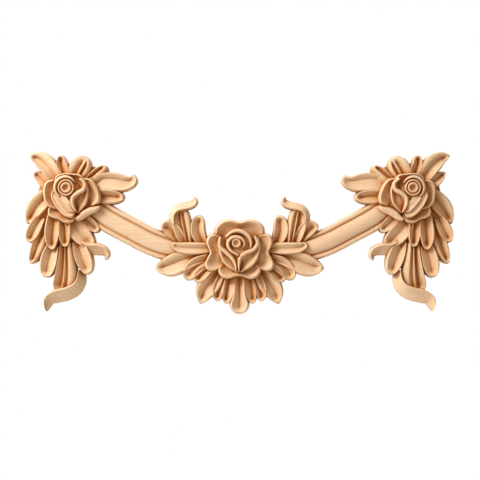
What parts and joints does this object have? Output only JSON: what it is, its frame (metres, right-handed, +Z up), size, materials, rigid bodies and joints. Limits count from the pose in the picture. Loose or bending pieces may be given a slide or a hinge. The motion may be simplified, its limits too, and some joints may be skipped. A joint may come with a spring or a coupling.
{
  "type": "carved crown onlay",
  "caption": "Carved wooden swag onlay with a rose and leaves in the middle, moulded bands, and a rose with a drop of leaves at each end; flat back for gluing",
  "frame": {"origin": "on the flat back, behind the middle rose, on the middle line", "axes": "+X to the right along the swag, +Z up, the carved front faces -Y and the flat back faces +Y"},
  "size_m": [0.4296, 0.024, 0.1624],
  "materials": {
    "carved_wood": "raw carved hardwood, sanded, fine straight grain, unvarnished"
  },
  "bodies": {
    "root": {"carved_onlay": "carved_wood"}
  },
  "joints": []
}
